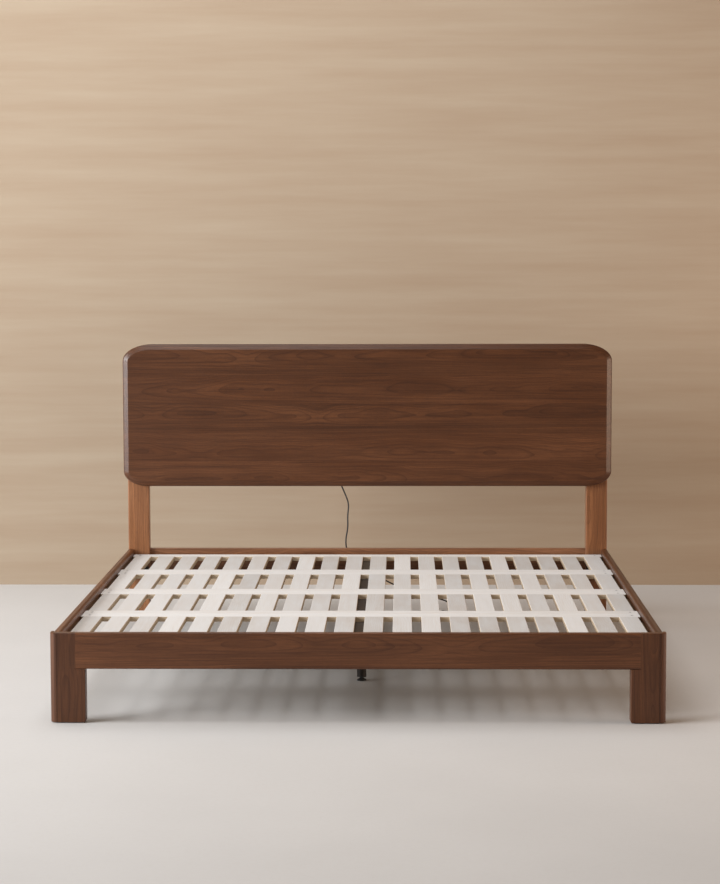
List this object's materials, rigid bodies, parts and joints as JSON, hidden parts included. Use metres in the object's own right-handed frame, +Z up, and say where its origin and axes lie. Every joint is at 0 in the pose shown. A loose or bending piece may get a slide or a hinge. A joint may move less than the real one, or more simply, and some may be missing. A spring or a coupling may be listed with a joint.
{
  "type": "platform bed",
  "caption": "Wide walnut platform bed with a flat rounded panel headboard on two posts, plain rails and corner legs, and a pale slat base on a steel centre beam.",
  "frame": {"origin": "on the floor under the middle of the bed, without its cord", "axes": "+Z up, -Y towards the foot end, +Y towards the headboard, +X to the right seen from the foot end"},
  "size_m": [2.026, 2.3873, 1.157],
  "materials": {
    "walnut": "oiled satin walnut, long grain along each piece",
    "slat_wood": "planed pale softwood, unfinished",
    "ledge_pine": "planed pine",
    "dowel_beech": "beech dowel",
    "black_steel": "fine black powder coat",
    "zinc_steel": "zinc plated",
    "dark_screw": "black oxide screw",
    "black_plastic": "moulded black nylon",
    "cord_rubber": "matt black flexible sheath",
    "tie_fabric": "black woven tie",
    "felt": "pressed brown felt",
    "brass": "plain brass blades"
  },
  "bodies": {
    "bed": {"bar_screws": "dark_screw", "barrel_nuts": "zinc_steel", "batten_screws": "zinc_steel", "beam_caps": "black_plastic", "beam_hanger_front": "black_steel", "beam_hanger_rear": "black_steel", "bolt_washers": "zinc_steel", "bracket_screws": "zinc_steel", "centre_beam": "black_steel", "centre_leg_front": "black_steel", "centre_leg_plate_front": "black_steel", "centre_leg_plate_rear": "black_steel", "centre_leg_rear": "black_steel", "cord_coil": "cord_rubber", "cord_tie": "tie_fabric", "cord_tube": "cord_rubber", "corner_bracket_front_left": "black_steel", "corner_bracket_front_right": "black_steel", "corner_bracket_rear_left": "black_steel", "corner_bracket_rear_right": "black_steel", "cross_bars_1": "slat_wood", "cross_bars_2": "slat_wood", "cross_bars_3": "slat_wood", "cross_bars_4": "slat_wood", "felt_pads": "felt", "foot_rail": "walnut", "foot_rail_dowels": "dowel_beech", "front_leg_left": "walnut", "front_leg_right": "walnut", "hanger_screws": "zinc_steel", "headboard_batten": "walnut", "headboard_bolts": "zinc_steel", "headboard_panel": "walnut", "headboard_post_left": "walnut", "headboard_post_right": "walnut", "ledge_screws": "zinc_steel", "leg_ferrules": "black_plastic", "leg_plate_screws": "zinc_steel", "lid_screws": "zinc_steel", "plug_blades": "brass", "plug_body": "cord_rubber", "rear_rail": "walnut", "rear_rail_dowels": "dowel_beech", "side_rail_bolts": "zinc_steel", "side_rail_left": "walnut", "side_rail_right": "walnut", "slat_ledge_left": "ledge_pine", "slat_ledge_right": "ledge_pine", "slats_1": "slat_wood", "slats_2": "slat_wood", "slats_3": "slat_wood", "slats_4": "slat_wood", "strain_relief": "cord_rubber", "supply_box": "black_plastic", "supply_box_lid": "black_plastic"},
    "foot_front": {"levelling_foot_front": "black_plastic"},
    "foot_rear": {"levelling_foot_rear": "black_plastic"}
  },
  "joints": [
    {"name": "foot_front_height", "type": "slide", "parent": "bed", "child": "foot_front", "axis": [0, 0, 1], "range_m": [-0.012, 0.003]},
    {"name": "foot_rear_height", "type": "slide", "parent": "bed", "child": "foot_rear", "axis": [0, 0, 1], "range_m": [-0.012, 0.003]}
  ]
}
